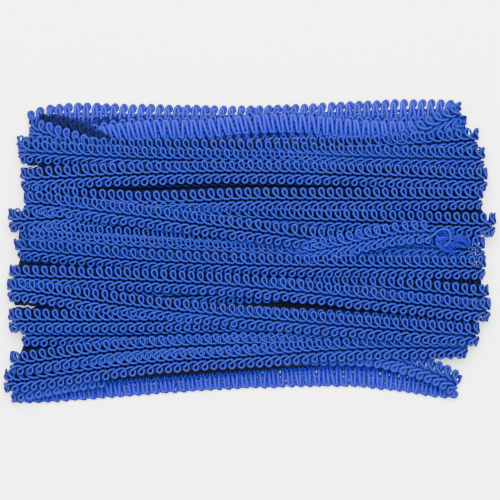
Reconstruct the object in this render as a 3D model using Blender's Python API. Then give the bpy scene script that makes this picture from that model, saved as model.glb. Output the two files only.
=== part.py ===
# Flat-wound hank of scroll gimp braid with one loose, frayed end.
# The braid is wound round and round and pressed flat. The front turns run left to right and lap
# over one another, and the back turns spread wider and show as a shelf along both long edges.
# Sizes in the tables are in millimetres. The meshes are made in metres, with +Z up.

import math

import bpy
import numpy as np
from mathutils import Vector
from mathutils.bvhtree import BVHTree

MM = 0.001

# Driving dimensions in millimetres
BRAID_HALF_WIDTH = 6.0      # half of the 12 mm braid
BRAID_THICKNESS = 2.4       # two layers of 1.2 mm cord
CROWN = 0.9                 # how far a turn's edges lie below its centre line
EDGE_STEEPNESS = 2.5        # drop per millimetre just past a turn's edge
EDGE_DROP = 5.0             # depth at which that steep drop ends
CORE_SLOPE = 0.8            # gentler fall of the hidden layers beyond it
END_ROUNDING = 2.6          # how far a turn's end draws in from its centre line to its edges
LOOSE_END_GAP = 0.4         # air between the loose end and the turns under it

# Places along the hank, left to right, at which the tables below give their values
STATIONS = np.array([-104.0, -54.0, 0.0, 54.0, 104.0])

# Each turn that shows: its centre line's height up the picture at the stations, the level of
# its top surface there, its roll in degrees (upper edge raised) at the left and right, and how
# far its ends reach
TURN_COLUMNS = ("name", "line", "top", "roll", "left", "right")
TURNS = (
    ("back_top_outer", (60.5, 61.0, 60.0, 63.0, 64.0), (3.4, 3.2, 3.0, 3.2, 3.6), (0, 0), -101.0, 94.0),
    ("back_top_inner", (54.5, 54.5, 58.0, 55.0, 56.0), (5.8, 5.6, 5.4, 5.8, 7.0), (0, 0), -100.0, 98.5),
    ("corner_left", (59.0, 46.0, 42.0, 41.5, 41.5), (10.0, 11.5, 10.0, 9.0, 9.0), (8, 0), -101.5, 90.0),
    ("corner_right", (45.0, 45.0, 46.0, 47.5, 51.0), (9.0, 9.0, 10.0, 12.0, 12.5), (0, 8), -95.0, 104.6),
    ("first_front", (47.5, 46.0, 45.0, 43.0, 42.0), (12.4, 12.6, 13.2, 14.6, 14.8), (8, 5), -106.5, 107.4),
    ("second_front", (45.5, 42.5, 41.0, 40.0, 38.0), (14.2, 14.6, 14.6, 12.5, 12.5), (6, 0), -106.0, 104.0),
    ("upper_straight", (32.5, 35.0, 36.0, 34.5, 32.5), (16.0, 16.8, 16.8, 16.6, 16.0), (4, 2), -105.0, 108.7),
    ("upper_second", (26.0, 22.0, 23.5, 23.5, 24.0), (15.2, 16.0, 17.0, 17.2, 16.4), (0, 4), -103.0, 106.5),
    ("steep_crossing", (23.0, 16.5, 9.5, 3.0, 1.0), (17.2, 18.6, 18.6, 16.4, 15.4), (3, 3), -103.5, 107.4),
    ("bulge_pair", (14.0, 17.0, 15.0, 13.5, 12.0), (16.6, 15.8, 15.4, 16.4, 16.6), (5, 4), -110.5, 112.3),
    ("dark_upper", (9.0, 5.5, 2.5, 1.0, 1.0), (15.2, 15.2, 14.6, 14.0, 14.0), (8, 0), -104.2, 100.0),
    ("dark_lower", (5.0, 2.0, -1.0, -2.5, -3.5), (15.4, 15.6, 15.2, 15.0, 14.0), (6, 0), -105.5, 100.0),
    ("middle", (1.0, -3.5, -6.0, -7.0, -7.5), (17.0, 17.8, 18.0, 18.0, 17.0), (20, 5), -106.9, 107.8),
    ("lower_first", (-11.5, -13.0, -16.0, -21.5, -27.0), (17.0, 17.8, 18.2, 18.4, 17.6), (5, 4), -110.0, 110.0),
    ("right_insert", (-21.5, -21.0, -18.5, -16.5, -20.5), (13.0, 14.0, 15.0, 16.4, 16.2), (0, 4), -95.0, 109.2),
    ("lower_second", (-17.5, -24.5, -30.0, -34.5, -38.5), (17.6, 18.2, 17.8, 17.2, 15.6), (4, 2), -111.0, 105.0),
    ("lower_third", (-31.5, -31.5, -30.5, -33.0, -36.0), (16.2, 16.6, 15.4, 14.0, 13.0), (2, 0), -110.5, 103.0),
    ("dark_bottom", (-38.0, -38.0, -36.5, -37.5, -40.0), (13.6, 13.8, 13.8, 13.0, 12.0), (0, 0), -104.5, 100.0),
    ("bottom_under", (-51.0, -44.5, -42.0, -42.0, -42.0), (14.6, 15.0, 14.2, 12.5, 11.5), (3, 0), -109.8, 99.7),
    ("bottom_front", (-59.0, -51.5, -47.5, -44.0, -43.5), (11.5, 14.4, 15.0, 14.8, 13.6), (-4, 0), -112.8, 99.7),
    ("corner_bottom", (-61.0, -54.5, -48.5, -45.5, -59.0), (8.0, 10.0, 11.0, 11.5, 9.0), (0, -6), -100.0, 97.9),
    ("back_bottom", (-63.5, -60.5, -57.5, -56.5, -60.0), (6.0, 5.4, 5.2, 5.4, 6.0), (0, 0), -110.0, 97.0),
)

# Lines that the mesh follows from the upper to the lower edge: an outline, or a named turn's
# centre line, with the number of mesh rows between it and the next line
UPPER_EDGE = (67.0, 67.5, 67.0, 69.3, 70.4)
LOWER_EDGE = (-70.0, -66.6, -63.4, -62.5, -66.4)
GUIDE_COLUMNS = ("line", "rows")
GUIDES = (
    (UPPER_EDGE, 6),
    ("back_top_inner", 7),
    ("first_front", 8),
    ("upper_straight", 7),
    ("upper_second", 19),
    ("middle", 10),
    ("lower_first", 8),
    ("lower_second", 22),
    ("bottom_front", 6),
    ("back_bottom", 4),
    (LOWER_EDGE, 0),
)
FRONT_COLUMNS = 26          # mesh columns along the front
END_STEPS = 6               # mesh columns round each end

# The loose end's centre line, left to right, with the width left of it towards the frayed tip
LOOSE_COLUMNS = ("x", "line", "half_width")
LOOSE_LINE = (
    (23.0, -0.5, 5.6),
    (43.0, 2.7, 6.0),
    (59.0, 6.3, 6.0),
    (70.0, 8.3, 6.0),
    (82.0, 8.6, 5.8),
    (90.0, 7.0, 4.6),
    (97.0, 4.6, 2.4),
)
LOOSE_STEPS = 24
LOOSE_ROWS = 6

BRAID_BLUE = "3258C8"
LOOSE_BLUE = "3C50D2"


def clear_scene():
    """Remove every object that the scene starts with."""
    for obj in list(bpy.data.objects):
        bpy.data.objects.remove(obj, do_unlink=True)


def linear_colour(hex_value):
    """Turn an sRGB hex colour into linear red, green, blue and alpha."""
    channels = [int(hex_value[i:i + 2], 16) / 255.0 for i in (0, 2, 4)]
    linear = [c / 12.92 if c <= 0.04045 else ((c + 0.055) / 1.055) ** 2.4 for c in channels]
    return (*linear, 1.0)


def braid_material(name, hex_value):
    """Matt wrapped rayon cord: one Principled shader with the cord's blue."""
    material = bpy.data.materials.new(name)
    material.use_nodes = True
    shader = material.node_tree.nodes["Principled BSDF"]
    shader.inputs["Base Color"].default_value = linear_colour(hex_value)
    shader.inputs["Roughness"].default_value = 0.6
    shader.inputs["Metallic"].default_value = 0.0
    return material


def table(columns, rows):
    """Name the columns of a table's rows."""
    return [dict(zip(columns, row)) for row in rows]


def smooth_through(places, values, x):
    """Cubic curve through the values at the places, with slopes from their neighbours."""
    places = np.asarray(places, float)
    values = np.asarray(values, float)
    slopes = np.gradient(values, places)
    x = np.clip(x, places[0], places[-1])
    k = np.clip(np.searchsorted(places, x, side="right") - 1, 0, len(places) - 2)
    span = places[k + 1] - places[k]
    t = (x - places[k]) / span
    start = (2 * t ** 3 - 3 * t ** 2 + 1) * values[k] + (t ** 3 - 2 * t ** 2 + t) * span * slopes[k]
    end = (3 * t ** 2 - 2 * t ** 3) * values[k + 1] + (t ** 3 - t ** 2) * span * slopes[k + 1]
    return start + end


TURN_ROWS = table(TURN_COLUMNS, TURNS)
TURN_BY_NAME = {turn["name"]: turn for turn in TURN_ROWS}


def turn_surface(turn, x, y):
    """Top of one turn: an arched, rolled band, steep past its edges and then gently falling."""
    off_line = y - smooth_through(STATIONS, turn["line"], x)
    roll = np.interp(x, (STATIONS[0], STATIONS[-1]), turn["roll"])
    reach = np.clip(off_line, -BRAID_HALF_WIDTH, BRAID_HALF_WIDTH)
    past_edge = np.abs(off_line) - np.abs(reach)
    top = smooth_through(STATIONS, turn["top"], x) + reach * np.tan(np.radians(roll))
    arch = CROWN * (reach / BRAID_HALF_WIDTH) ** 2
    drop = np.minimum(EDGE_STEEPNESS * past_edge, EDGE_DROP) + CORE_SLOPE * past_edge
    return top - arch - drop


def hank_top(x, y):
    """Height of the winding: the highest of all its turns at each place."""
    lowest = 0.5 * BRAID_THICKNESS
    return np.maximum(np.max([turn_surface(turn, x, y) for turn in TURN_ROWS], axis=0), lowest)


def end_reach(side, y):
    """How far the hank reaches at one end: the outermost of its turns' rounded ends."""
    station = STATIONS[0] if side == "left" else STATIONS[-1]
    sign = -1.0 if side == "left" else 1.0
    reaches = []
    for turn in TURN_ROWS:
        off_line = (y - smooth_through(STATIONS, turn["line"], np.array(station))) / BRAID_HALF_WIDTH
        reaches.append(sign * turn[side] - END_ROUNDING * off_line ** 2)
    return sign * np.max(reaches, axis=0)


def guide_line(line, x):
    """Height up the picture of one guide, given as an outline or as a turn's name."""
    values = TURN_BY_NAME[line]["line"] if isinstance(line, str) else line
    return smooth_through(STATIONS, values, x)


def mesh_rows():
    """Each mesh row as its upper guide, its lower guide and the share of the way between."""
    rows = []
    guides = table(GUIDE_COLUMNS, GUIDES)
    for upper, lower in zip(guides, guides[1:]):
        rows += [(upper["line"], lower["line"], k / upper["rows"]) for k in range(upper["rows"])]
    rows.append((guides[-2]["line"], guides[-1]["line"], 1.0))
    return rows


def row_points(row):
    """One row of points: up round the left end, along the front, down round the right end."""
    upper, lower, share = row

    def line_at(x):
        return (1.0 - share) * guide_line(upper, x) + share * guide_line(lower, x)

    left_y = line_at(STATIONS[:1])[0]
    right_y = line_at(STATIONS[-1:])[0]
    left = float(end_reach("left", left_y))
    right = float(end_reach("right", right_y))
    left_radius = 0.5 * float(hank_top(np.array(left + 8.0), left_y))
    right_radius = 0.5 * float(hank_top(np.array(right - 8.0), right_y))
    front_x = np.linspace(left + left_radius, right - right_radius, FRONT_COLUMNS)
    front_y = line_at(front_x)
    front_z = hank_top(front_x, front_y)
    turn_angles = np.linspace(-0.5 * math.pi, 0.5 * math.pi, END_STEPS + 1)[:-1]
    left_z = 0.5 * front_z[0] * (1.0 + np.sin(turn_angles))
    left_x = front_x[0] - left_radius * np.cos(turn_angles)
    right_z = 0.5 * front_z[-1] * (1.0 + np.sin(turn_angles[::-1]))
    right_x = front_x[-1] + right_radius * np.cos(turn_angles[::-1])
    x = np.concatenate([left_x, front_x, right_x])
    y = np.concatenate([np.full(END_STEPS, front_y[0]), front_y, np.full(END_STEPS, front_y[-1])])
    z = np.concatenate([left_z, front_z, right_z])
    return np.stack([x, y, z], axis=1)


def make_object(name, points, faces, material):
    """Put points in millimetres and their faces into one smooth-shaded object."""
    mesh = bpy.data.meshes.new(name)
    mesh.from_pydata((np.asarray(points) * MM).tolist(), [], faces)
    mesh.validate()
    mesh.update()
    mesh.shade_smooth()
    mesh.set_sharp_from_angle(angle=math.radians(50.0))
    mesh.materials.append(material)
    obj = bpy.data.objects.new(name, mesh)
    bpy.context.scene.collection.objects.link(obj)
    return obj


def build_hank(material):
    """The winding as one solid: rows of points from edge to edge, closed by a flat underside."""
    grid = np.array([row_points(row) for row in mesh_rows()])
    row_count, column_count = grid.shape[:2]
    points = grid.reshape(-1, 3).tolist()

    def index(row, column):
        return row * column_count + column

    faces = []
    for row in range(row_count - 1):
        for column in range(column_count - 1):
            faces.append((index(row, column), index(row + 1, column),
                          index(row + 1, column + 1), index(row, column + 1)))

    first = END_STEPS
    last = column_count - 1 - END_STEPS

    def edge_feet(row):
        """Points on the underside below a long edge, from end to end of the front."""
        feet = [index(row, 0)]
        for column in range(first + 1, last):
            x, y, _ = grid[row, column]
            points.append((x, y, 0.0))
            feet.append(len(points) - 1)
        feet.append(index(row, column_count - 1))
        return feet

    def edge_wall(row, feet):
        """Wall under a long edge: a half-round face at each end and a strip between them."""
        wall = [tuple(index(row, column) for column in range(first + 1))]
        wall.append(tuple(index(row, column) for column in range(last, column_count)))
        for k, column in enumerate(range(first, last)):
            wall.append((feet[k], index(row, column), index(row, column + 1), feet[k + 1]))
        return wall

    bottom_row = row_count - 1
    upper_feet = edge_feet(0)
    lower_feet = edge_feet(bottom_row)
    faces += edge_wall(0, upper_feet)
    faces += [face[::-1] for face in edge_wall(bottom_row, lower_feet)]
    right_feet = [index(row, column_count - 1) for row in range(1, row_count - 1)]
    left_feet = [index(row, 0) for row in range(row_count - 2, 0, -1)]
    faces.append(tuple(upper_feet + right_feet + lower_feet[::-1] + left_feet))
    return make_object("hank", points, faces, material)


def build_loose_end(material, hank):
    """The free end as a thin band that lies on the hank, narrowing to its frayed tip."""
    tree = BVHTree.FromPolygons([v.co for v in hank.data.vertices],
                                [tuple(p.vertices) for p in hank.data.polygons])
    places, line, half_width = np.array(LOOSE_LINE).T
    x = np.linspace(places[0], places[-1], LOOSE_STEPS)
    centre = smooth_through(places, line, x)
    half = smooth_through(places, half_width, x)
    across = np.linspace(1.0, -1.0, LOOSE_ROWS)
    step_x = x[1] - x[0]
    step_y = 2.0 * BRAID_HALF_WIDTH / (LOOSE_ROWS - 1)

    def height_below(px, py):
        """The highest point of the hank within one mesh step of a place."""
        heights = []
        for dx in np.linspace(-step_x, step_x, 5):
            for dy in np.linspace(-step_y, step_y, 5):
                hit = tree.ray_cast(Vector(((px + dx) * MM, (py + dy) * MM, 0.1)), Vector((0, 0, -1)))[0]
                heights.append(hit.z / MM if hit else 0.0)
        return max(heights)

    lower = []
    for i in range(LOOSE_STEPS):
        for share in across:
            y = centre[i] + share * half[i]
            lower.append((x[i], y, height_below(x[i], y) + LOOSE_END_GAP))
    lower = np.array(lower).reshape(LOOSE_STEPS, LOOSE_ROWS, 3)
    upper = lower.copy()
    thickness = BRAID_THICKNESS * np.interp(np.abs(across), (0.0, 1.0), (1.0, 0.6))
    upper[:, :, 2] += thickness[None, :]
    count = LOOSE_STEPS * LOOSE_ROWS
    points = np.concatenate([upper.reshape(-1, 3), lower.reshape(-1, 3)])

    def index(i, j):
        return i * LOOSE_ROWS + j

    faces = []
    for i in range(LOOSE_STEPS - 1):
        for j in range(LOOSE_ROWS - 1):
            quad = (index(i, j), index(i, j + 1), index(i + 1, j + 1), index(i + 1, j))
            faces.append(quad)
            faces.append(tuple(count + k for k in quad[::-1]))
    last_i = LOOSE_STEPS - 1
    last_j = LOOSE_ROWS - 1
    rim = [index(i, 0) for i in range(LOOSE_STEPS)]
    rim += [index(last_i, j) for j in range(1, LOOSE_ROWS)]
    rim += [index(i, last_j) for i in range(last_i - 1, -1, -1)]
    rim += [index(0, j) for j in range(last_j - 1, 0, -1)]
    for a, b in zip(rim, rim[1:] + rim[:1]):
        faces.append((a, b, count + b, count + a))
    return make_object("loose_end", points, faces, material)


def centre_on_origin(objects):
    """Move the pieces so that the middle of their underside is at the origin."""
    corners = np.array([v.co for obj in objects for v in obj.data.vertices])
    low = corners.min(axis=0)
    high = corners.max(axis=0)
    shift = (-0.5 * (low[0] + high[0]), -0.5 * (low[1] + high[1]), -low[2])
    for obj in objects:
        obj.location = shift
    print("size in mm", np.round((high - low) / MM, 2), "shift in mm", np.round(np.array(shift) / MM, 3))


clear_scene()
hank_object = build_hank(braid_material("gimp_braid", BRAID_BLUE))
loose_object = build_loose_end(braid_material("loose_braid", LOOSE_BLUE), hank_object)
centre_on_origin([hank_object, loose_object])
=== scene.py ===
# %% [markdown]
# A flat-wound hank of scroll gimp braid
#
# The real thing is one length of narrow upholstery braid, about 12 mm wide, wound round and
# round and pressed flat. The braid itself is two wrapped rayon cords that run in cursive loops,
# one above and one below a centre line, held on the wrong side by straight cross threads.
# This lesson builds it the way it is made: a formula for the looping cord, a path for each
# turn of the winding, and one function that carries the cord along the path.

# %% Load the frame
import math

import bpy
import numpy as np
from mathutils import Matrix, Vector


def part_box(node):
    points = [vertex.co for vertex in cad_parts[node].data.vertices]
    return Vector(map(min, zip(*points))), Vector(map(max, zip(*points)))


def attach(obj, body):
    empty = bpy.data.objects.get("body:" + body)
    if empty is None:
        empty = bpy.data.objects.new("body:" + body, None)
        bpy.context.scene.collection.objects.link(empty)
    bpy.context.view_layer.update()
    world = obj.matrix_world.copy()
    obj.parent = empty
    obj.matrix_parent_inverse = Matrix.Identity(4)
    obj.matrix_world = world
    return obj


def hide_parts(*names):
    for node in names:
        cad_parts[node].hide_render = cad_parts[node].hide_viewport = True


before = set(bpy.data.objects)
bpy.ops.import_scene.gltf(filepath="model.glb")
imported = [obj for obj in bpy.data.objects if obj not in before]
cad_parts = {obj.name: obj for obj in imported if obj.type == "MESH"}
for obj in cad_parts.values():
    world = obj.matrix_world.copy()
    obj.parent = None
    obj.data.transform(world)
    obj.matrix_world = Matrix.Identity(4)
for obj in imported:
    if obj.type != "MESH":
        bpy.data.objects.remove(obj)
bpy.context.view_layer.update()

MM = 0.001
hank_low, hank_high = (np.array(corner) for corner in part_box("hank"))
print("hank box in mm", np.round(hank_low / MM, 1), np.round(hank_high / MM, 1))

# %% [markdown]
# The winding's plan
#
# Each turn that shows is one row of a table: the height of its centre line up the picture at
# five places along the hank, the level of its top surface there, its roll, and how far its two
# ends reach. A smooth curve through the five values gives the whole turn. The turns lap over
# one another only because their levels differ, as the real ones do, so there is nothing to cut.
# Lengths in the tables are in millimetres.

# %% The table of front turns
STATIONS = np.array([-104.0, -54.0, 0.0, 54.0, 104.0])
TURN_COLUMNS = ("name", "line", "top", "roll", "left", "right")
FRONT_TURNS = (
    ("corner_right", (45.0, 45.0, 46.0, 47.5, 51.0), (9.0, 9.0, 10.0, 12.0, 12.5), (0, 8), -95, 104.6),
    ("first_front", (47.5, 46.0, 45.0, 43.0, 42.0), (12.4, 12.6, 13.2, 14.6, 14.8), (8, 5), -106.5, 107.4),
    ("second_front", (45.5, 42.5, 41.0, 40.0, 38.0), (14.2, 14.6, 14.6, 12.5, 12.5), (6, 0), -106.0, 104.0),
    ("upper_straight", (32.5, 35.0, 36.0, 34.5, 32.5), (16.0, 16.8, 16.8, 16.6, 16.0), (4, 2), -105.0, 108.7),
    ("upper_second", (26.0, 22.0, 23.5, 23.5, 24.0), (15.2, 16.0, 17.0, 17.2, 16.4), (0, 4), -103.0, 106.5),
    ("steep_crossing", (23.0, 16.5, 9.5, 3.0, 1.0), (17.2, 18.6, 18.6, 16.4, 15.4), (3, 3), -103.5, 107.4),
    ("bulge_pair", (14.0, 17.0, 15.0, 13.5, 12.0), (16.6, 15.8, 15.4, 16.4, 16.6), (5, 4), -110.5, 112.3),
    ("dark_upper", (9.0, 5.5, 2.5, 1.0, 1.0), (15.2, 15.2, 14.6, 14.0, 14.0), (8, 0), -104.2, 100.0),
    ("dark_lower", (5.0, 2.0, -1.0, -2.5, -3.5), (15.4, 15.6, 15.2, 15.0, 14.0), (6, 0), -105.5, 100.0),
    ("middle", (1.0, -3.5, -6.0, -7.0, -7.5), (17.0, 17.8, 18.0, 18.0, 17.0), (20, 5), -106.9, 107.8),
    ("lower_first", (-11.5, -13.0, -16.0, -21.5, -27.0), (17.0, 17.8, 18.2, 18.4, 17.6), (5, 4), -110, 110),
    ("right_insert", (-21.5, -21.0, -18.5, -16.5, -20.5), (13.0, 14.0, 15.0, 16.4, 16.2), (0, 4), -95, 109.2),
    ("lower_second", (-17.5, -24.5, -30.0, -34.5, -38.5), (17.6, 18.2, 17.8, 17.2, 15.6), (4, 2), -111, 105),
    ("lower_third", (-31.5, -31.5, -30.5, -33.0, -36.0), (16.2, 16.6, 15.4, 14.0, 13.0), (2, 0), -110.5, 103),
    ("dark_bottom", (-38.0, -38.0, -36.5, -37.5, -40.0), (13.6, 13.8, 13.8, 13.0, 12.0), (0, 0), -104.5, 100),
    ("last_under", (-51.0, -44.5, -42.0, -42.0, -42.0), (14.6, 15.0, 14.2, 12.5, 11.5), (3, 0), -109.8, 99.7),
    ("last_front", (-59.0, -51.5, -47.5, -44.0, -43.5), (11.5, 14.4, 15.0, 14.8, 13.6), (-4, 0), -112.8, 99.7),
)
front_turns = [dict(zip(TURN_COLUMNS, row)) for row in FRONT_TURNS]
print(len(front_turns), "front turns")

# %% A smooth curve through a row's values
LOWEST_EDGE = -70.0     # the lower outline's height at its left end, in the tables' millimetres
shift = np.array([hank_low[0] / MM - min(turn["left"] for turn in front_turns),
                  hank_low[1] / MM - LOWEST_EDGE, 0.0])


def smooth_through(places, values, x):
    """Cubic pieces through the values: each takes its end slopes from the values either side."""
    places = np.asarray(places, float)
    values = np.asarray(values, float)
    slopes = np.gradient(values, places)
    x = np.clip(x, places[0], places[-1])
    k = np.clip(np.searchsorted(places, x, side="right") - 1, 0, len(places) - 2)
    span = places[k + 1] - places[k]
    t = (x - places[k]) / span
    start = (2 * t ** 3 - 3 * t ** 2 + 1) * values[k] + (t ** 3 - 2 * t ** 2 + t) * span * slopes[k]
    end = (3 * t ** 2 - 2 * t ** 3) * values[k + 1] + (t ** 3 - t ** 2) * span * slopes[k + 1]
    return start + end


print("tables sit", np.round(shift, 2), "mm from the frame")

# %% [markdown]
# The looping cord
#
# Seen from above, each cord of gimp runs in a row of loops like joined-up letters e. The loop
# is not a plain trochoid: its ring is round at the outer end, its tail leaves in a long slant,
# passes over the ring's own beginning, lies down beside the centre line and slips under the
# next tail. A dozen places once round give that shape, and a smooth curve through them, set
# on by a pitch each time, gives the whole cord. The lower row's rings are rounder and sit
# closer in, and the row starts a little less than half a loop along.

# %% Sizes of the braid
PITCH = 4.15            # one loop to the next along the braid
CORD_RADIUS = 0.62
CORD_LIFT = 0.55        # how far the cord rises where it crosses itself
HALF_THICKNESS = CORD_LIFT + CORD_RADIUS
LOOP_FOOT = 0.76        # where a tail runs beside the centre line
LOWER_PHASE = 0.42      # how much further along the lower row starts, in loops
RINGS_PER_LOOP = 17
CORD_SIDES = 6
SIZE_SPREAD = 0.04      # share by which one loop is bigger or smaller than the next
SLIP_SPREAD = 0.10      # how far a loop slips along
# Once round a loop, anticlockwise from its outer end: along, across, and out as a share of the lift
UPPER_LOOP = (
    (0.00, 5.42, 0.1), (-0.82, 5.05, 0.1), (-1.15, 4.10, 0.2), (-0.78, 2.95, 0.6), (0.35, 1.90, 1.0),
    (1.75, 1.05, 0.8), (3.15, 0.76, 0.0), (4.62, 0.98, -1.0), (5.30, 2.05, -0.9), (5.33, 3.60, -0.3),
    (4.97, 4.95, 0.0),
)
LOWER_LOOP = (
    (0.00, 4.72, 0.1), (-0.88, 4.38, 0.1), (-1.24, 3.55, 0.2), (-0.98, 2.68, 0.6), (-0.20, 2.16, 0.9),
    (0.95, 1.66, 1.0), (2.20, 1.04, 0.7), (3.40, 0.78, -0.1), (4.50, 1.05, -1.0), (5.15, 1.85, -0.9),
    (5.38, 3.00, -0.3), (5.06, 4.25, 0.0),
)


def loop_cord(loops, shape, side, phase, seed, rings=RINGS_PER_LOOP):
    """Middle line of one cord as along, across and out, in millimetres.

    Along is pitch times turns plus how far the loop's shape runs ahead of that; across is the
    shape's height above the tail's; out is the lift times the shape's share. Each loop is a few
    per cent bigger or smaller than the next.
    """
    rng = np.random.default_rng(seed)
    one = np.array(shape)
    places = np.arange(-1, len(one) + 2)
    around = places / len(one)
    whole = one[places % len(one)] + np.outer(places // len(one), (PITCH, 0.0, 0.0))
    turns = np.arange(0, int(loops * rings) + 1) / rings
    ahead, height, lift = (smooth_through(around, whole[:, k] - PITCH * around * (k == 0), turns % 1.0)
                           for k in range(3))
    knots = np.arange(int(loops) + 3)
    size = np.interp(turns + 0.5, knots, 1.0 + SIZE_SPREAD * rng.standard_normal(len(knots)))
    slip = np.interp(turns + 0.5, knots, SLIP_SPREAD * rng.standard_normal(len(knots)))
    along = PITCH * (turns + phase) + size * ahead + slip
    across = LOOP_FOOT + size * (height - LOOP_FOOT)
    return along, side * across, CORD_LIFT * lift


sample = loop_cord(3, UPPER_LOOP, 1, 0.0, 1)
print("loop reaches", np.round((sample[1].min(), sample[1].max()), 2), "mm from the centre line")

# %% [markdown]
# The path of a turn
#
# A turn is a flat band that runs along the front, round the ends and back under the hank. Three
# directions travel with it: along, across and out of its face. Rolling the band tips the last
# two about the first. The path is kept as arrays of points and directions at equal small
# steps, and any place on the band is looked up by its distance along.

# %% Path functions
FAR_LEVEL = 1.6         # height of the band's middle where an outer turn passes under the hank
MIDDLE_TOP = 18.6       # level of the outermost front turns' tops
UNDER_STEP = 0.35       # rise of a turn's far side for each millimetre its front lies lower
PATH_STEP = 0.7
LEAST_STEPS = 8
FRONT_STEPS = 160       # points along a turn's front, then round an end, then along its far side
END_STEPS = 24
FAR_STEPS = 60
LEVEL_INSET = 9.0       # how far inside its end a turn's level is read
ALMOST_FLAT = 1e-4      # least bend, so that its cylinder has a radius
CURL_HINGE = 1.0        # distance below the centre line at which the band starts to bend down
LOWER_CURL = 0.07       # how strongly its lower edge bends over its neighbour, per millimetre


def arc_length(points):
    """Distance along a row of points."""
    steps = np.linalg.norm(np.diff(points, axis=0), axis=1)
    return np.concatenate([[0.0], np.cumsum(steps)])


def band_path(points, roll, across=(0.0, 1.0, 0.0), bend=0.0):
    """Even steps along the points with the band's three directions, rolled by an angle each.

    Out is along crossed with across, and the roll turns across and out about along.
    """
    length = arc_length(points)
    even = np.linspace(0.0, length[-1], max(int(length[-1] / PATH_STEP), LEAST_STEPS))
    place = np.stack([np.interp(even, length, points[:, k]) for k in range(3)], axis=1)
    tangent = np.gradient(place, even, axis=0)
    tangent /= np.linalg.norm(tangent, axis=1, keepdims=True)
    width = np.broadcast_to(np.asarray(across, float), points.shape)
    side = np.stack([np.interp(even, length, width[:, k]) for k in range(3)], axis=1)
    side -= tangent * np.sum(side * tangent, axis=1, keepdims=True)
    side /= np.linalg.norm(side, axis=1, keepdims=True)
    out = np.cross(tangent, side)
    angle = np.radians(np.interp(even, length, roll))[:, None]
    rolled_side = np.cos(angle) * side + np.sin(angle) * out
    rolled_out = np.cos(angle) * out - np.sin(angle) * side
    bends = np.full(len(even), bend)
    return {"even": even, "place": place, "side": rolled_side, "out": rolled_out, "bend": bends}


def turn_ends(turn):
    """Where each end's half circle starts, its radius, and the level of the far side."""
    ends = {}
    for name, sign in (("left", -1.0), ("right", 1.0)):
        x = turn[name] - sign * LEVEL_INSET
        front = float(smooth_through(STATIONS, turn["top"], x))
        under = FAR_LEVEL + UNDER_STEP * max(MIDDLE_TOP - front, 0.0)
        radius = 0.5 * (front - HALF_THICKNESS - under)
        ends[name] = (turn[name] - sign * (radius + HALF_THICKNESS), radius, under)
    return ends


def front_points(turn):
    """A front turn: up round the left end, along the front, down round the right end."""
    (left_x, left_radius, _), (right_x, right_radius, _) = turn_ends(turn).values()
    x = np.linspace(left_x, right_x, FRONT_STEPS)
    front = np.stack([x, smooth_through(STATIONS, turn["line"], x),
                      smooth_through(STATIONS, turn["top"], x) - HALF_THICKNESS], axis=1)
    half_turn = np.linspace(0.0, np.pi, END_STEPS)[1:]
    flat = np.zeros_like(half_turn)
    drop = np.stack([np.sin(half_turn), flat, np.cos(half_turn) - 1.0], axis=1)
    left = front[0] + left_radius * drop * (-1.0, 1.0, 1.0)
    right = front[-1] + right_radius * drop
    points = np.vstack([left[::-1], front, right])
    return points, np.interp(points[:, 0], (STATIONS[0], STATIONS[-1]), turn["roll"])


def far_points(turn):
    """The same turn's far side, which runs back under the hank from the right to the left."""
    (left_x, _, left_under), (right_x, _, right_under) = turn_ends(turn).values()
    ends_y = smooth_through(STATIONS, turn["line"], np.array([right_x, left_x]))
    start = np.array([right_x, ends_y[0], right_under])
    end = np.array([left_x, ends_y[1], left_under])
    share = np.linspace(0.0, 1.0, FAR_STEPS)[:, None]
    return start + share * (end - start), np.zeros(FAR_STEPS)


def look_up(path, rows, along):
    """The path's rows read at distances along it."""
    return np.stack([np.interp(along, path["even"], path[rows][:, k]) for k in range(3)], axis=1)


def curl(across, out, bend):
    """Bend the band's lower part down round a cylinder: bend is one over its radius.

    Past the hinge the distance across becomes an angle, and the point moves on that circle.
    """
    past = np.maximum(-across - CURL_HINGE, 0.0)
    bend = np.maximum(bend, ALMOST_FLAT)
    angle = past * bend
    radius = 1.0 / bend
    return across + past - (radius + out) * np.sin(angle), (radius + out) * np.cos(angle) - radius


def on_band(path, along, across, out):
    """Points in space for places on the band given as along, across and out."""
    bend = np.interp(along, path["even"], path["bend"])
    across, out = curl(across, out, bend)
    return (look_up(path, "place", along) + across[:, None] * look_up(path, "side", along)
            + out[:, None] * look_up(path, "out", along))


# %% [markdown]
# Carrying a cord along its line
#
# The cord is a tube of four to eight sides swept along its middle line: at each ring the first
# direction is the braid's outward one with its part along the cord taken away, and the second
# is square to both. It never twists, because the cord never points straight out of the braid.
# Two numbers go with each corner: the distance along the cord and the share of the way round,
# which later carry the wrapping's ribs. A third says how far the corner faces sideways, into the
# next cord, where little light gets in; the materials paint shade there by darkening the colour.

# %% The faces between rings


def ring_faces(count, sides):
    """Quads of a closed run of rings: one row between each two, and each end filled with a fan.

    A fan of quads takes two sides at a time, so a ring has an even number of them.
    """
    row = np.arange(count - 1)[:, None] * sides
    k = np.arange(sides)[None, :]
    nxt = (k + 1) % sides
    quads = np.stack([row + k, row + nxt, row + nxt + sides, row + k + sides], axis=-1).reshape(-1, 4)
    last = (count - 1) * sides
    start_cap = [(0, j + 2, j + 1, j) for j in range(1, sides - 1, 2)]
    end_cap = [(last, last + j, last + j + 1, last + j + 2) for j in range(1, sides - 1, 2)]
    return np.vstack([quads, start_cap, end_cap])


# %% The sweep


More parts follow.
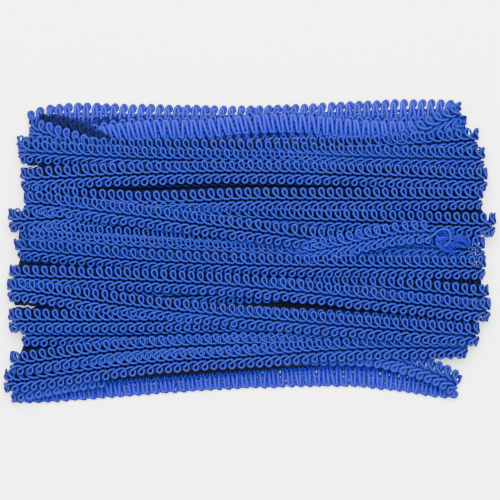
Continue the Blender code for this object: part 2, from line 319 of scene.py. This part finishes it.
def tube(line, out, radius, sides=CORD_SIDES, flat=1.0):
    """Closed tube round a line: points, quads, and for each point its length, turn and painted flank shade.

    Each ring is the line's point plus the radius times the cosine and sine of the turn along
    two square directions; flat squeezes it along the outward one.
    """
    count = len(line)
    tangent = np.gradient(line, axis=0)
    tangent /= np.linalg.norm(tangent, axis=1, keepdims=True)
    first = out - tangent * np.sum(out * tangent, axis=1, keepdims=True)
    first /= np.linalg.norm(first, axis=1, keepdims=True)
    second = np.cross(tangent, first)
    turn = 2 * np.pi * np.arange(sides) / sides
    reach = np.broadcast_to(np.asarray(radius, float), (count,))[:, None, None]
    ring = (flat * np.cos(turn)[None, :, None] * first[:, None, :]
            + np.sin(turn)[None, :, None] * second[:, None, :])
    points = (line[:, None, :] + reach * ring).reshape(-1, 3)
    length = np.repeat(arc_length(line), sides)
    share = np.tile(np.arange(sides) / sides, count)
    # how far each corner faces sideways: the materials darken by it, as painted shade on the flanks
    flank_shade = np.tile(np.sin(turn) ** 2, count)
    return points, ring_faces(count, sides), length, share, flank_shade


def join_parts(parts):
    """Stack several tubes into one set of arrays, with the faces renumbered."""
    offsets = np.cumsum([0] + [len(part[0]) for part in parts[:-1]])
    faces = np.vstack([part[1] + offset for part, offset in zip(parts, offsets)])
    return (np.vstack([part[0] for part in parts]), faces,
            *(np.concatenate([part[k] for part in parts]) for k in (2, 3, 4)))


def make_piece(name, parts, material):
    """One mesh object from stacked parts, in metres, with its cord lengths in a UV map."""
    points, faces, length, share, flank_shade = join_parts(parts)
    mesh = bpy.data.meshes.new(name)
    mesh.vertices.add(len(points))
    mesh.vertices.foreach_set("co", ((points + shift) * MM).astype(np.float32).ravel())
    mesh.loops.add(faces.size)
    mesh.loops.foreach_set("vertex_index", faces.astype(np.int32).ravel())
    mesh.polygons.add(len(faces))
    mesh.polygons.foreach_set("loop_start", np.arange(0, faces.size, 4, dtype=np.int32))
    mesh.update(calc_edges=True)
    mesh.polygons.foreach_set("use_smooth", np.ones(len(faces), dtype=bool))
    uv = mesh.uv_layers.new(name="cord")
    corner = faces.ravel()
    turn = share[corner].reshape(-1, 4)
    turn = turn + ((turn.max(axis=1, keepdims=True) - turn) > 0.5)
    uv.data.foreach_set("uv", np.stack([length[corner], turn.ravel()], axis=1).astype(np.float32).ravel())
    # kept on the mesh for the materials' painted flank shade
    flank_shade_layer = mesh.attributes.new("flank_shade", "FLOAT", "POINT")
    flank_shade_layer.data.foreach_set("value", flank_shade.astype(np.float32))
    mesh.validate()
    mesh.materials.append(material)
    piece = bpy.data.objects.new(name, mesh)
    bpy.context.scene.collection.objects.link(piece)
    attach(piece, "root")
    print(name, 2 * len(faces), "triangles")
    return piece


# %% [markdown]
# The finishes, with their painted shade
#
# The cord is viscose rayon wrapped round a cotton core: matt blue with a soft gloss along its
# ribs. The cross threads and the frayed end are loose rayon floss, which has no twist, so it is
# shinier and looks more violet. The inner turns lie where hardly any light gets in, so they and
# the floss behind the loops get darker copies of their colours, as painted shade; every thread
# is also painted darker on its flanks, as shade. Each colour is an sRGB value turned to linear,
# and each rib comes from the cord's own length in millimetres, so it follows every loop.

# %% Colour and node helpers


def linear(hex_value):
    """An sRGB hex colour as linear red, green, blue and alpha."""
    channels = [int(hex_value[i:i + 2], 16) / 255.0 for i in (0, 2, 4)]
    return tuple(c / 12.92 if c <= 0.04045 else ((c + 0.055) / 1.055) ** 2.4 for c in channels) + (1.0,)


def add_node(material, kind, settings=(), inputs=(), links=()):
    """Add a node, set its own settings and its sockets' values, and link sockets to it."""
    node = material.node_tree.nodes.new(kind)
    for name, value in dict(settings).items():
        setattr(node, name, value)
    for name, value in dict(inputs).items():
        node.inputs[name].default_value = value
    for name, socket in dict(links).items():
        material.node_tree.links.new(socket, node.inputs[name])
    return node


# %% Wrapped cord and floss
RIB_PITCH = 0.62        # wrapping ribs, drawn about twice as coarse as real ones so that they show
RIB_HEIGHT = 0.05
FLOSS_PITCH = 0.3       # floss has next to no twist, so its ribs are fine and shallow
FLOSS_HEIGHT = 0.02
BUMP_STRENGTH = 0.6
CLOUD_SIZE = 9.0        # patches of lighter and darker dye along the braid
FLANK_START = 0.05      # sideways share from which a cord's painted flank shade begins, and where it is darkest
FLANK_END = 0.85
LOW_GLOSS = 0.08        # the many fibres scatter light, so hardly any mirror-like gloss is left


def thread_material(name, light, dark, flank_shade_colour, roughness, rib_pitch, rib_height):
    """Twisted or wrapped thread: ribs from its length and turn, and painted shade where it faces sideways."""
    material = bpy.data.materials.new(name)
    material.use_nodes = True
    shader = material.node_tree.nodes["Principled BSDF"]
    uv = add_node(material, "ShaderNodeUVMap", {"uv_map": "cord"})
    split = add_node(material, "ShaderNodeSeparateXYZ", links={0: uv.outputs[0]})
    along = add_node(material, "ShaderNodeMath", {"operation": "DIVIDE"}, {1: rib_pitch},
                     {0: split.outputs[0]})
    spiral = add_node(material, "ShaderNodeMath", {"operation": "ADD"},
                      links={0: along.outputs[0], 1: split.outputs[1]})
    angle = add_node(material, "ShaderNodeMath", {"operation": "MULTIPLY"}, {1: 2 * math.pi},
                     {0: spiral.outputs[0]})
    rib = add_node(material, "ShaderNodeMath", {"operation": "SINE"}, links={0: angle.outputs[0]})
    bump = add_node(material, "ShaderNodeBump",
                    inputs={"Strength": BUMP_STRENGTH, "Distance": rib_height * MM},
                    links={"Height": rib.outputs[0]})
    place = add_node(material, "ShaderNodeTexCoord")
    cloud = add_node(material, "ShaderNodeTexNoise",
                     inputs={"Scale": 1 / (CLOUD_SIZE * MM), "Detail": 2.0},
                     links={"Vector": place.outputs["Object"]})
    tone = add_node(material, "ShaderNodeMix", {"data_type": "RGBA"}, {6: linear(dark), 7: linear(light)},
                    {0: cloud.outputs["Fac"]})
    # Painted shade: the colour darkens towards the flank shade colour where the thread faces sideways
    flank_shade = add_node(material, "ShaderNodeAttribute", {"attribute_name": "flank_shade"})
    fall = add_node(material, "ShaderNodeMapRange",
                    inputs={"From Min": FLANK_START, "From Max": FLANK_END, "To Min": 0.0, "To Max": 1.0},
                    links={"Value": flank_shade.outputs["Fac"]})
    colour = add_node(material, "ShaderNodeMix", {"data_type": "RGBA"}, {7: linear(flank_shade_colour)},
                      {0: fall.outputs[0], 6: tone.outputs[2]})
    material.node_tree.links.new(colour.outputs[2], shader.inputs["Base Color"])
    material.node_tree.links.new(bump.outputs[0], shader.inputs["Normal"])
    shader.inputs["Roughness"].default_value = roughness
    shader.inputs["Specular IOR Level"].default_value = LOW_GLOSS
    print("material", name)
    return material


# Viscose rayon wound closely round a cotton core: an even, matt blue with fine ribs; the last colour is
# painted shade for its flanks
wrapped_cord = thread_material("wrapped_rayon_cord", "1B2484", "151D76", "080F40", 0.6,
                               RIB_PITCH, RIB_HEIGHT)
# Loose rayon floss: straight fibres side by side, so it is brighter and more violet; the last colour is
# painted shade for its flanks
rayon_floss = thread_material("rayon_floss_threads", "1816A0", "12128C", "060640", 0.5,
                              FLOSS_PITCH, FLOSS_HEIGHT)
# The same floss behind the loops, where the cords shade it: a darker copy, as painted shade
shaded_floss = thread_material("rayon_floss_in_painted_loop_shade", "0A1050", "080C44", "03051C", 0.7,
                               FLOSS_PITCH, FLOSS_HEIGHT)
# The same wrapped cord one layer down, painted darker as shade since it is nearly out of the light, and then
# painted nearly black as wholly out of it
inner_cord = thread_material("packed_inner_turns_painted_shade", "070C3C", "050930", "02041A", 0.8,
                             RIB_PITCH, RIB_HEIGHT)
deep_cord = thread_material("packed_turns_painted_dark", "02030C", "02030C", "02030C", 0.9,
                            RIB_PITCH, RIB_HEIGHT)

# %% [markdown]
# The cross threads
#
# On the wrong side one floss thread goes to and fro across the braid and holds the two cords
# together. It is a zigzag: straight across at the loops' feet, a half loop along at each edge,
# and across again. Through the loops on the front only hints of it show, but along the hank's
# two long edges the back turns lie wrong side up and it makes their bright ladder.

# %% The thread's line
THREAD_RADIUS = 0.55
THREAD_FLATNESS = 0.45  # its thickness over its width
THREAD_REACH = 4.2
CROSSINGS_PER_LOOP = 2
FAN_SPREAD = 0.12       # how unevenly the crossings are spaced, and how unevenly they lean
LEAN_SPREAD = 0.04
THREAD_DEPTH = 0.95     # how far under the cords a crossing lies, as a share of their thickness
EDGE_RISE = 0.45        # how much of that it rises again at the edges


def cross_thread(loops, seed, rings, slant, edge, zigzag):
    """Zigzag line: across swings between the edges, along steps on, out dips under the cords.

    Each crossing also leans by the slant, and drifts by the zigzag's share of a step from edge to
    edge, so that pairs of crossings meet at the loops' feet.
    """
    rng = np.random.default_rng(seed)
    crossings = int(loops * CROSSINGS_PER_LOOP)
    share = np.tile(np.linspace(-1.0, 1.0, rings), crossings)
    crossing = np.repeat(np.arange(crossings), rings)
    way = np.where(crossing % 2 == 0, 1.0, -1.0)
    across = edge * share * way
    fan = np.repeat(FAN_SPREAD * rng.standard_normal(crossings), rings)
    lean = np.repeat(slant + LEAN_SPREAD * rng.standard_normal(crossings), rings)
    along = PITCH / CROSSINGS_PER_LOOP * (crossing + 0.5 + zigzag * share) + fan - lean * across
    out = -HALF_THICKNESS * (THREAD_DEPTH - EDGE_RISE * share ** 4)
    return along, across, out


# %% Braid along a path
FIRST_PHASE = 0.3       # the upper row's start, in loops


def braid(path, seed, rings=RINGS_PER_LOOP, sides=CORD_SIDES, thread_rings=4, thread_sides=4,
          cord_radius=CORD_RADIUS, thread_radius=THREAD_RADIUS, slant=0.10, edge=THREAD_REACH,
          zigzag=0.2):
    """Both cords and the cross thread of one stretch of braid, as parts for a piece."""
    loops = path["even"][-1] / PITCH - 1.0
    cords = []
    rows = ((1.0, UPPER_LOOP, FIRST_PHASE), (-1.0, LOWER_LOOP, FIRST_PHASE + LOWER_PHASE))
    for side, shape, phase in rows:
        along, across, out = loop_cord(loops, shape, side, phase, 2 * seed + int(side > 0), rings)
        line = on_band(path, along, across, out)
        cords.append(tube(line, look_up(path, "out", along), cord_radius, sides))
    along, across, out = cross_thread(loops, seed, thread_rings, slant, edge, zigzag)
    line = on_band(path, along, across, out)
    thread = tube(line, look_up(path, "out", along), thread_radius, thread_sides, flat=THREAD_FLATNESS)
    return cords, thread


# %% [markdown]
# The front turns
#
# Every row of the table becomes a path and every path a stretch of braid. Three turns make one
# mesh, which keeps each mesh light enough to work with. The far sides run back under the hank.
# Little of them can be seen, so they get half the rings and four-sided cords.

# %% Front and far sides of the turns
TURNS_IN_A_PIECE = 3
FAR_SEED, BAND_SEED, LOOSE_SEED, INNER_SEED = 100, 200, 300, 400
fabric_pieces = []
for start in range(0, len(front_turns), TURNS_IN_A_PIECE):
    cords, threads, far_cords, far_threads = [], [], [], []
    group = front_turns[start:start + TURNS_IN_A_PIECE]
    for number, turn in enumerate(group, start=start):
        points, roll = front_points(turn)
        both, thread = braid(band_path(points, roll, bend=LOWER_CURL), seed=number)
        cords += both
        threads.append(thread)
        points, roll = far_points(turn)
        both, thread = braid(band_path(points, roll), seed=FAR_SEED + number, rings=8, sides=4,
                             thread_rings=3)
        far_cords += both
        far_threads.append(thread)
    label = f"{start + 1:02d}"
    fabric_pieces.append(make_piece(f"front_turns_{label}", cords, wrapped_cord))
    fabric_pieces.append(make_piece(f"front_threads_{label}", threads, shaded_floss))
    fabric_pieces.append(make_piece(f"far_turns_{label}", far_cords, wrapped_cord))
    fabric_pieces.append(make_piece(f"far_threads_{label}", far_threads, rayon_floss))

# %% [markdown]
# The edge bands
#
# Along both long edges the back turns spread past the front ones and show their wrong side.
# Each of these bands also comes round the ends on to the front, at a slant, before it slips
# under its neighbours. A band is a short list of places that it passes, with the slant of its
# width there, and a smooth curve goes through them.

# %% Edge bands
# Each row holds x, y, z and the slant of the width in degrees, and the rows go the braid's way
TOP_BAND = (
    (44, 40.0, 8.0, 0), (58, 44.0, 8.8, 0), (73, 51.1, 9.4, 0), (80.4, 54.9, 9.2, 0),
    (87, 58.3, 8.6, 10), (93, 61.0, 7.2, 14), (96.0, 62.6, 4.6, 14), (91, 63.8, 2.2, 10), (80, 64.2, 1.6, 5),
    (54, 63.4, 1.5, 0), (0, 61.4, 1.5, 0), (-54, 61.9, 1.5, 0), (-86, 62.0, 1.6, 0), (-95, 60.6, 2.2, 0),
    (-100, 58.0, 4.6, 0), (-98, 55.6, 7.2, 0), (-91, 52.8, 8.8, 0), (-77, 48.0, 9.8, 0),
    (-62, 43.5, 9.8, 0), (-42, 38.5, 9.0, 0),
)
SHADED_TOP_BAND = (
    (60, 56.0, 2.8, 0), (20, 57.0, 2.6, 0), (-20, 56.2, 2.6, 0), (-60, 56.0, 2.6, 0), (-88, 56.4, 2.8, 0),
    (-96, 57.0, 4.6, 0), (-92, 57.4, 6.4, 0), (-84, 55.8, 7.6, 0), (-72, 50.6, 8.4, 0), (-60, 45.0, 8.2, 0),
)
INNER_TOP_BAND = (
    (70, 47.0, 7.6, 0), (84, 51.6, 8.0, 8), (93, 55.0, 7.2, 12), (98.5, 57.4, 5.2, 12), (93, 57.8, 3.8, 8),
    (80, 56.0, 3.9, 0), (60, 55.6, 3.9, 0), (42, 56.8, 3.9, 0), (22, 58.7, 3.9, 0), (0, 58.4, 3.9, 0),
    (-22, 56.4, 3.9, 0), (-48, 55.8, 3.9, 0), (-64, 54.0, 4.0, 0), (-78, 50.5, 5.0, 0), (-90, 46.0, 6.0, 0),
)
BOTTOM_BAND = (
    (10, -47.0, 9.6, 0), (40, -46.5, 10.2, 0), (58, -47.6, 10.4, -10), (70, -50.4, 10.0, -18),
    (82, -54.4, 8.8, -22), (91, -58.6, 6.8, -20), (94.5, -61.2, 4.4, -14), (89, -61.8, 2.0, -6),
    (74, -59.6, 1.5, 0), (54, -57.2, 1.4, 0), (20, -56.8, 1.4, 0), (0, -57.4, 1.4, 0),
    (-30, -59.0, 1.4, 0), (-54, -60.8, 1.4, 0), (-90, -63.6, 1.5, 0), (-104, -64.0, 2.4, 0),
    (-108.5, -63.8, 4.6, 0), (-104, -63.0, 6.8, 0), (-88, -60.0, 7.8, 0), (-66, -56.0, 8.6, 0),
)


def smooth_rows(rows, count):
    """Even points on a smooth curve through a short list of places, by the distance between them.

    The first three columns are the place, and any others go along with them.
    """
    values = np.array(rows, float)
    places = arc_length(values[:, :3])
    even = np.linspace(0.0, places[-1], count)
    return np.stack([smooth_through(places, column, even) for column in values.T], axis=1)


BAND_STEPS = 400


def band_through(rows):
    """Smooth points through a band's places, and the direction of its width at each."""
    smooth = smooth_rows(rows, BAND_STEPS)
    slant = np.radians(smooth[:, 3])
    across = np.stack([-np.sin(slant), np.cos(slant), np.zeros_like(slant)], axis=1)
    return smooth[:, :3], across


BEAD_CORD_RADIUS = 0.84     # on the wrong side the loops are filled up with floss
BAND_COLUMNS = ("name", "places", "bar_radius", "bar_reach", "slant", "zigzag", "cord", "floss")
EDGE_BANDS = (
    ("top_band", TOP_BAND, 0.95, 4.4, 0.0, 0.25, wrapped_cord, rayon_floss),
    # a layer deeper, so it takes the painted-shade copies of the cord and the floss
    ("shaded_top_band", SHADED_TOP_BAND, 0.95, 4.2, 0.0, 0.2, inner_cord, shaded_floss),
    ("inner_top_band", INNER_TOP_BAND, 1.05, 3.8, -0.16, 0.08, wrapped_cord, rayon_floss),
    ("bottom_band", BOTTOM_BAND, 1.0, 4.2, -0.06, 0.1, wrapped_cord, rayon_floss),
)
for number, row in enumerate(EDGE_BANDS, start=BAND_SEED):
    band = dict(zip(BAND_COLUMNS, row))
    points, across = band_through(band["places"])
    path = band_path(points, np.zeros(len(points)), across)
    cords, thread = braid(path, seed=number, thread_rings=6, thread_sides=6, cord_radius=BEAD_CORD_RADIUS,
                          thread_radius=band["bar_radius"], slant=band["slant"], edge=band["bar_reach"],
                          zigzag=band["zigzag"])
    fabric_pieces.append(make_piece(band["name"], cords, band["cord"]))
    fabric_pieces.append(make_piece(band["name"] + "_threads", [thread], band["floss"]))

# %% [markdown]
# The hidden turns inside
#
# More turns lie under the ones that show, pressed together in the dark. In each gap between two
# front turns the next layer's turn can just be made out, so a plainer stretch of braid is laid
# there. Among and below them a lump with the winding's own ridges closes the view through the
# hank. Its height at each place is the highest of all the turns' arched bands there, less a few
# millimetres.

# %% The turns of the layer below
INNER_DROP = 3.0        # their tops, below the lower one of the two turns beside them
INNER_INSET = 2.6       # how far their ends lie inside the shorter one's
inner_parts = []
for number, (upper, lower) in enumerate(zip(front_turns[:-1], front_turns[1:]), start=INNER_SEED):
    between = {
        "line": 0.5 * (np.array(upper["line"]) + np.array(lower["line"])),
        "top": np.minimum(upper["top"], lower["top"]) - INNER_DROP,
        "roll": (0.0, 0.0),
        "left": max(upper["left"], lower["left"]) + INNER_INSET,
        "right": min(upper["right"], lower["right"]) - INNER_INSET,
    }
    points, roll = front_points(between)
    cords, _ = braid(band_path(points, roll), seed=number, rings=10, sides=4, thread_rings=2)
    inner_parts += cords
# this layer takes the cord's painted-shade copy
fabric_pieces.append(make_piece("inner_layer", inner_parts, inner_cord))

# %% The inner lump
BRAID_HALF_WIDTH = 6.0
BAND_ARCH = 0.9         # how much lower a band's edges lie than its middle
CORE_DEPTH = 4.2        # how far the lump lies below the turns' tops
CORE_EDGE_FALL = 1.1    # its fall for each millimetre past a band's edge
CORE_UPPER = (51.0, 50.0, 49.5, 49.0, 52.0)      # its edges up the picture at the five stations
CORE_LOWER = (-61.0, -55.5, -51.5, -48.0, -47.5)
CORE_BOTTOM = 3.4
CORE_INSET = 2.8        # how far it stays inside the turns' ends
CORE_END_RADIUS = 7.0
CORE_RINGS = 80         # rings from its upper edge to its lower one, and points along and round each
CORE_STEPS = 44
CORE_ARC_STEPS = 10


def winding_top(x, y):
    """Highest band at each place: level and roll, less an arch, falling away past its edges."""
    tops = []
    for turn in front_turns:
        off_line = y - smooth_through(STATIONS, turn["line"], x)
        reach = np.clip(off_line, -BRAID_HALF_WIDTH, BRAID_HALF_WIDTH)
        past_edge = np.abs(off_line - reach)
        roll = np.radians(np.interp(x, (STATIONS[0], STATIONS[-1]), turn["roll"]))
        level = smooth_through(STATIONS, turn["top"], x) + reach * np.tan(roll)
        tops.append(level - BAND_ARCH * (reach / BRAID_HALF_WIDTH) ** 2 - CORE_EDGE_FALL * past_edge)
    return np.max(tops, axis=0)


def end_reach(name, place, y):
    """How far the turns' ends reach at heights up the picture, read between the nearest turns."""
    heights = np.array([turn["line"][place] for turn in front_turns])
    order = np.argsort(heights)
    return np.interp(y, heights[order], np.array([turn[name] for turn in front_turns])[order])


def inner_lump():
    """Closed lump of rings, each a share of the way up: along the top, round an end, back, round."""
    up = np.linspace(1.0, 0.0, CORE_RINGS)[:, None]

    def height(x):
        lower = smooth_through(STATIONS, CORE_LOWER, x)
        return lower + up * (smooth_through(STATIONS, CORE_UPPER, x) - lower)

    left = end_reach("left", 0, height(STATIONS[:1])) + CORE_INSET
    right = end_reach("right", -1, height(STATIONS[-1:])) - CORE_INSET
    arc = np.linspace(0.5 * np.pi, -0.5 * np.pi, CORE_ARC_STEPS)[None, 1:-1]
    share = np.linspace(0.0, 1.0, CORE_STEPS)[None, :]
    run = left + CORE_END_RADIUS + share * (right - left - 2 * CORE_END_RADIUS)
    top = winding_top(run, height(run)) - CORE_DEPTH
    half_right = 0.5 * (top[:, -1:] - CORE_BOTTOM)
    half_left = 0.5 * (top[:, :1] - CORE_BOTTOM)
    x = np.hstack([run, right - CORE_END_RADIUS * (1.0 - np.cos(arc)),
                   run[:, ::-1], left + CORE_END_RADIUS * (1.0 - np.cos(arc))])
    z = np.hstack([top, CORE_BOTTOM + half_right * (1.0 + np.sin(arc)),
                   np.full_like(run, CORE_BOTTOM), CORE_BOTTOM + half_left * (1.0 - np.sin(arc))])
    points = np.stack([x, height(x), z], axis=-1).reshape(-1, 3)
    flat = np.zeros(len(points))
    return points, ring_faces(*x.shape), points[:, 0].copy(), flat, flat


# the lump is painted nearly black, as shade
fabric_pieces.append(make_piece("inner_turns", [inner_lump()], deep_cord))

# %% [markdown]
# The loose end
#
# The last few centimetres of braid rise out of a gap near the middle and lie over their
# neighbours at the right. The cut end has come undone: one cord stands off in a hook, and the
# floss of the cross threads has burst into a small tuft.

# %% The loose end and its fray
LOOSE_BAND = (
    (4, -1.6, 13.2, 0), (14, -1.4, 14.0, 0), (24, -0.8, 15.2, 0), (33, 1.0, 16.9, 0),
    (43, 2.9, 18.2, 0), (51, 4.8, 18.9, 0), (59, 6.4, 19.3, 0), (68, 8.0, 19.5, 0),
    (76, 8.6, 19.4, 0), (85, 8.6, 18.9, 0),
)
points, across = band_through(LOOSE_BAND)
loose_path = band_path(points, np.zeros(len(points)), across)
loose_cords, loose_thread = braid(loose_path, seed=LOOSE_SEED, rings=20, thread_rings=6, thread_sides=6)
loose_end = make_piece("loose_end_braid", loose_cords, wrapped_cord)
loose_threads = make_piece("loose_end_threads", [loose_thread], rayon_floss)

# %% The hooked cord and the tufts of floss
HOOKED_CORD = (
    (79.0, 5.2, 19.6), (82.5, 7.4, 20.2), (86.0, 10.0, 20.8), (89.0, 10.2, 20.8),
    (90.6, 7.6, 20.2), (90.2, 4.6, 19.4), (87.6, 2.4, 18.6),
)
HOOK_STEPS = 40
TUFT_COLUMNS = ("root", "tip", "spread", "threads")
TUFTS = (
    ((84.0, 6.0, 19.0), (97.5, 4.6, 18.2), 2.6, 34),
    ((84.0, 4.0, 18.6), (90.5, 0.8, 18.0), 1.6, 18),
    ((84.5, 9.0, 19.2), (90.0, 9.4, 19.6), 1.8, 14),
)
STRAND_RADIUS = 0.17
STRAND_STEPS = 9
ROOT_SHARES = (0.4, 1.0, 0.3)   # how much of the spread goes along, across and up, at the root
TIP_SHARES = (1.4, 1.0, 0.3)
BOW_SHARES = (0.3, 0.8, 0.3)


def up_along(line):
    """The upward direction at each point of a line."""
    return np.tile([0.0, 0.0, 1.0], (len(line), 1))


def tuft(row, rng):
    """Loose threads from one root: each bows sideways and up a little on its way to its tip."""
    spread = row["spread"]
    share = np.linspace(0.0, 1.0, STRAND_STEPS)[:, None]
    threads = []
    for _ in range(row["threads"]):
        start = np.array(row["root"]) + 0.5 * spread * rng.uniform(-1, 1, 3) * ROOT_SHARES
        end = np.array(row["tip"]) + spread * rng.uniform(-1, 1, 3) * TIP_SHARES
        bow = spread * rng.uniform(-1, 1, 3) * BOW_SHARES
        line = start + share * (end - start) + np.sin(np.pi * share) * bow
        threads.append(tube(line, up_along(line), STRAND_RADIUS, 4))
    return threads


rng = np.random.default_rng(17)
strands = [strand for row in TUFTS for strand in tuft(dict(zip(TUFT_COLUMNS, row)), rng)]
hook = smooth_rows(HOOKED_CORD, HOOK_STEPS)
fray_cord = make_piece("loose_end_hook", [tube(hook, up_along(hook), CORD_RADIUS, 8)], wrapped_cord)
fray_threads = make_piece("loose_end_fray", strands, rayon_floss)

# %% Hide the model's parts that the pieces replace
for piece in fabric_pieces:
    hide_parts("hank")
for piece in (loose_end, loose_threads, fray_cord, fray_threads):
    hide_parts("loose_end")

# %% [markdown]
# The stage, the camera and the light
#
# The photo looks straight down on a plain white ground with soft, even light and no shadow to
# speak of. A big soft lamp overhead and a bright surround give the same: the tops of the cords
# are light, and the gaps between them fall off to dark blue.

# %% Stage
VIEW_WIDTH = 226.5 * MM             # what the photo's width covers at the front turns' level
FRONT_LEVEL = 17.0 * MM
CAMERA_HEIGHT = 1.4
PICTURE_CENTRE = np.array([0.0, 0.9, 0.0])
FLOOR_REACH = 1.5                   # metres to each side

floor_mesh = bpy.data.meshes.new("floor")
floor_corners = [(x * FLOOR_REACH, y * FLOOR_REACH, 0) for x, y in ((-1, -1), (1, -1), (1, 1), (-1, 1))]
floor_mesh.from_pydata(floor_corners, [], [(0, 1, 2, 3)])
floor = bpy.data.objects.new("floor", floor_mesh)
bpy.context.scene.collection.objects.link(floor)
floor_material = bpy.data.materials.new("pale_card")
floor_material.use_nodes = True
floor_material.node_tree.nodes["Principled BSDF"].inputs["Base Color"].default_value = linear("FEFEFE")
floor_material.node_tree.nodes["Principled BSDF"].inputs["Roughness"].default_value = 0.9
floor_mesh.materials.append(floor_material)

# %% Camera and lights
LAMP_PLACE = (0.0, 0.35, 1.2)       # in metres, as its size is
LAMP_SIZE = 0.7
LAMP_POWER = 60.0
SURROUND_STRENGTH = 2.6
centre = (PICTURE_CENTRE + shift) * MM
camera_data = bpy.data.cameras.new("camera")
camera_data.lens = camera_data.sensor_width * (CAMERA_HEIGHT - FRONT_LEVEL) / VIEW_WIDTH
camera = bpy.data.objects.new("camera", camera_data)
camera.location = (centre[0], centre[1], CAMERA_HEIGHT)
bpy.context.scene.collection.objects.link(camera)
bpy.context.scene.camera = camera


def soft_lamp(name, place, size, power):
    """A square soft lamp that faces the hank."""
    data = bpy.data.lights.new(name, "AREA")
    data.size = size
    data.energy = power
    lamp = bpy.data.objects.new(name, data)
    lamp.location = place
    towards = -np.array(place, float)
    towards /= np.linalg.norm(towards)
    lamp.rotation_euler = (math.acos(-towards[2]), 0.0, math.atan2(-towards[0], towards[1]))
    bpy.context.scene.collection.objects.link(lamp)
    return lamp


soft_lamp("overhead", LAMP_PLACE, LAMP_SIZE, LAMP_POWER)
world = bpy.data.worlds.new("studio")
world.use_nodes = True
world.node_tree.nodes["Background"].inputs["Color"].default_value = (1.0, 1.0, 1.0, 1.0)
world.node_tree.nodes["Background"].inputs["Strength"].default_value = SURROUND_STRENGTH
bpy.context.scene.world = world
